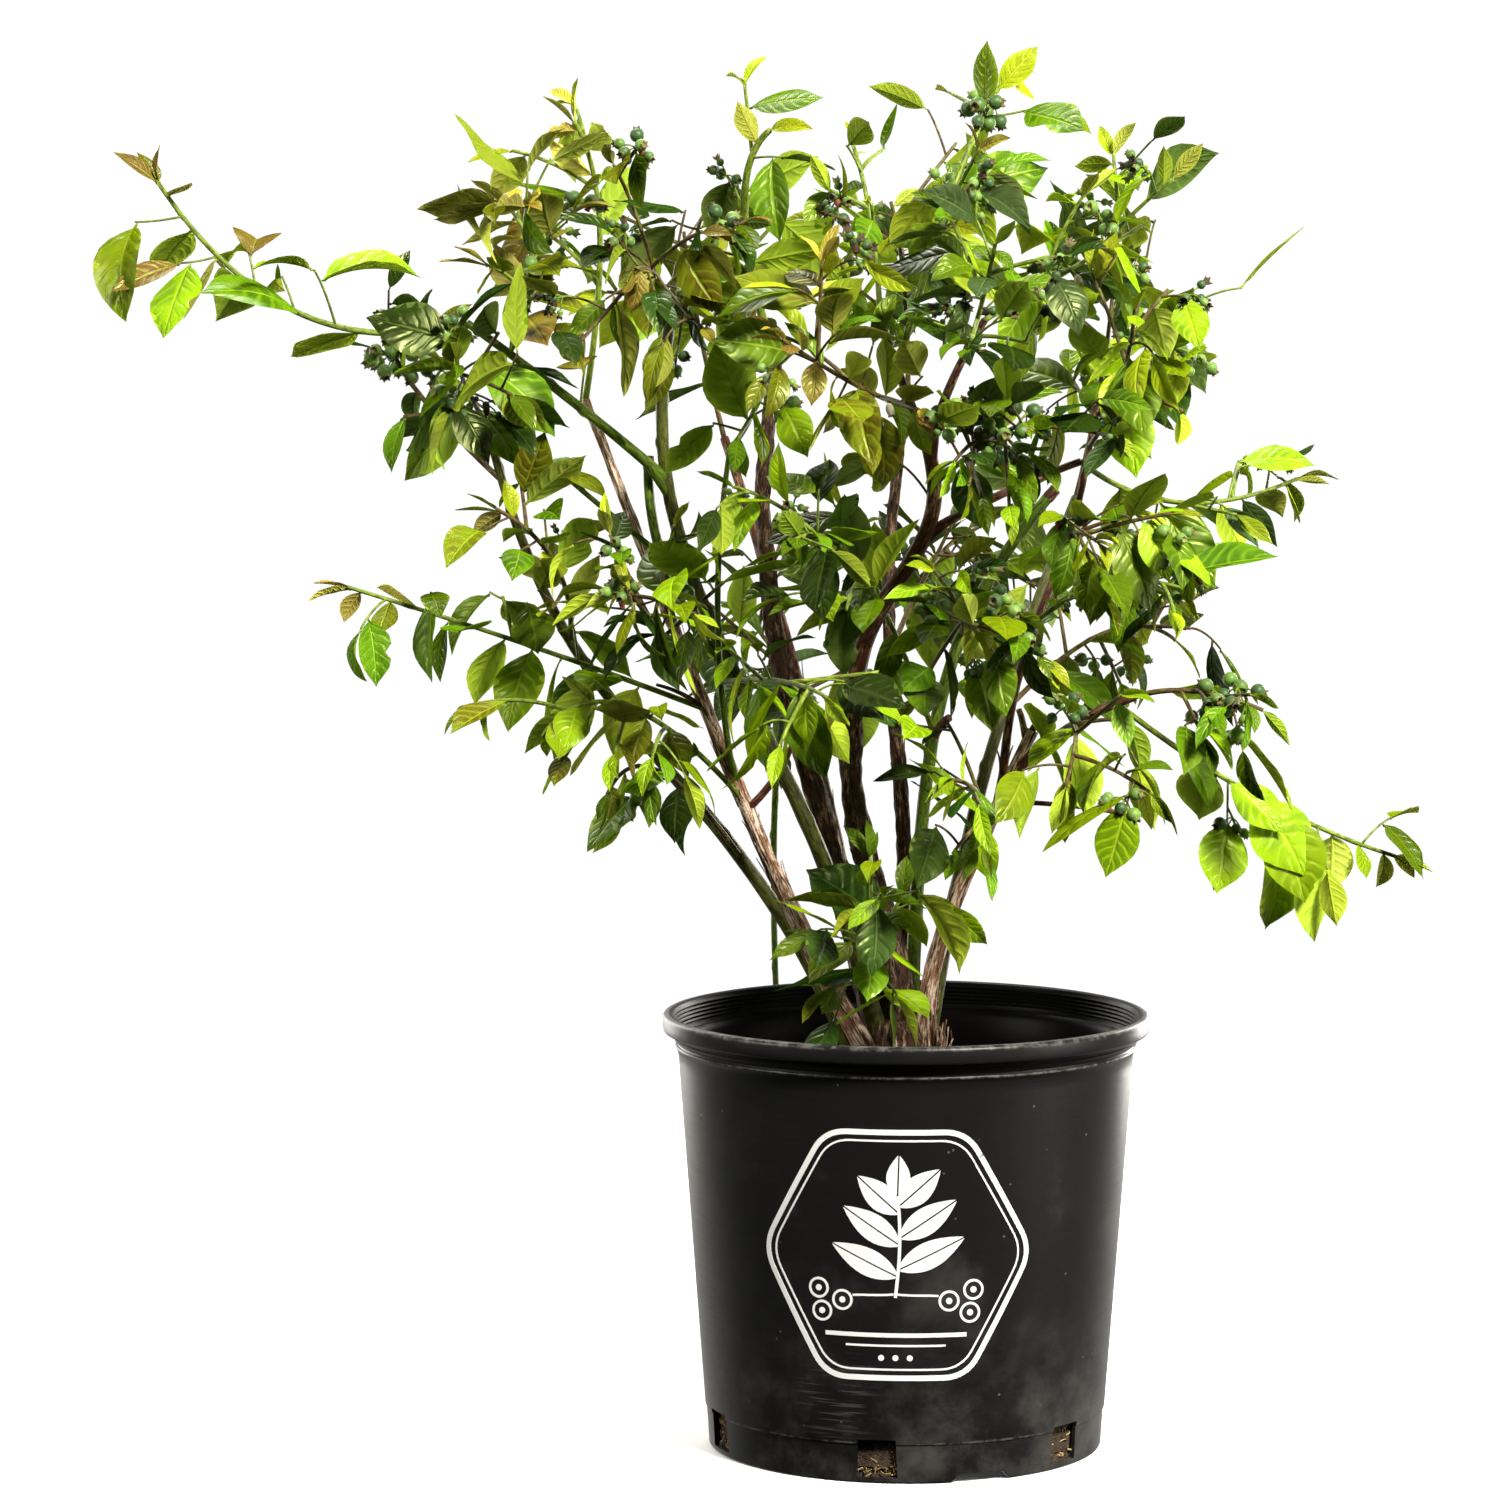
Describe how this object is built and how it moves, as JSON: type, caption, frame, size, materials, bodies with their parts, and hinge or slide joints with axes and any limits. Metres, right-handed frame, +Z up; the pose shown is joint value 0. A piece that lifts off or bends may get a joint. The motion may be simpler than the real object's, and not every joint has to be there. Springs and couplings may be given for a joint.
{
  "type": "blueberry bush in a pot",
  "caption": "Highbush blueberry shrub of several leafy canes rising from a woody stool in a round black nursery pot filled with potting mix.",
  "frame": {"origin": "centre of the pot's flat underside, on the level that the pot stands on", "axes": "+Z up, +X to the right of the picture, -Y towards the viewer of the picture"},
  "size_m": [0.7649, 0.4189, 0.8379],
  "materials": {
    "pot": "satin moulded black plastic",
    "soil": "loose bark and peat potting mix",
    "stool": "rough fibrous bark",
    "cane": "brown peeling bark",
    "bough": "smooth young bark, green to red-brown",
    "foliage": "semi-gloss leaves in greens, lime and bronze"
  },
  "bodies": {
    "root": {"pot": "pot", "soil": "soil", "crown_stool": "stool", "trunk_left": "cane", "trunk_centre": "cane", "cane_peeling": "cane", "cane_left": "cane", "cane_green": "cane", "cane_upright": "cane", "cane_right": "cane", "cane_back_left": "cane", "cane_back_middle": "cane", "cane_back_right": "cane", "bough_upper_left": "bough", "bough_stub": "bough", "bough_slender": "bough", "bough_centre": "bough", "bough_centre_left": "bough", "bough_centre_right": "bough", "bough_centre_far": "bough", "bough_right_brown": "bough", "bough_right_thin": "bough", "foliage_long_left_shoot": "foliage", "foliage_low_left_shoot": "foliage", "foliage_left_cluster": "foliage", "foliage_left_dark": "foliage", "foliage_bronze_top": "foliage", "foliage_upper_left": "foliage", "foliage_inner_left": "foliage", "foliage_upright_top": "foliage", "foliage_top_centre": "foliage", "foliage_tall_shoot": "foliage", "foliage_right_top": "foliage", "foliage_outer_right": "foliage", "foliage_right_front": "foliage", "foliage_centre_upper": "foliage", "foliage_centre_inner": "foliage", "foliage_front_centre": "foliage", "foliage_right_mid_shoot": "foliage", "foliage_right_mid_berries": "foliage", "foliage_right_inner": "foliage", "foliage_right_low": "foliage", "foliage_right_berries": "foliage", "foliage_right_long_shoot": "foliage", "foliage_low_centre": "foliage", "foliage_base_sprout": "foliage", "foliage_left_low": "foliage", "foliage_left_fan": "foliage", "foliage_left_mid": "foliage", "foliage_left_upper_mid": "foliage", "foliage_slender": "foliage", "foliage_front_lime": "foliage", "foliage_centre_mid": "foliage", "foliage_centre_right_mid": "foliage", "foliage_back_left_low": "foliage", "foliage_back_left_top": "foliage", "foliage_back_middle_low": "foliage", "foliage_back_middle_top": "foliage", "foliage_back_right_low": "foliage", "foliage_back_right_top": "foliage"}
  },
  "joints": []
}
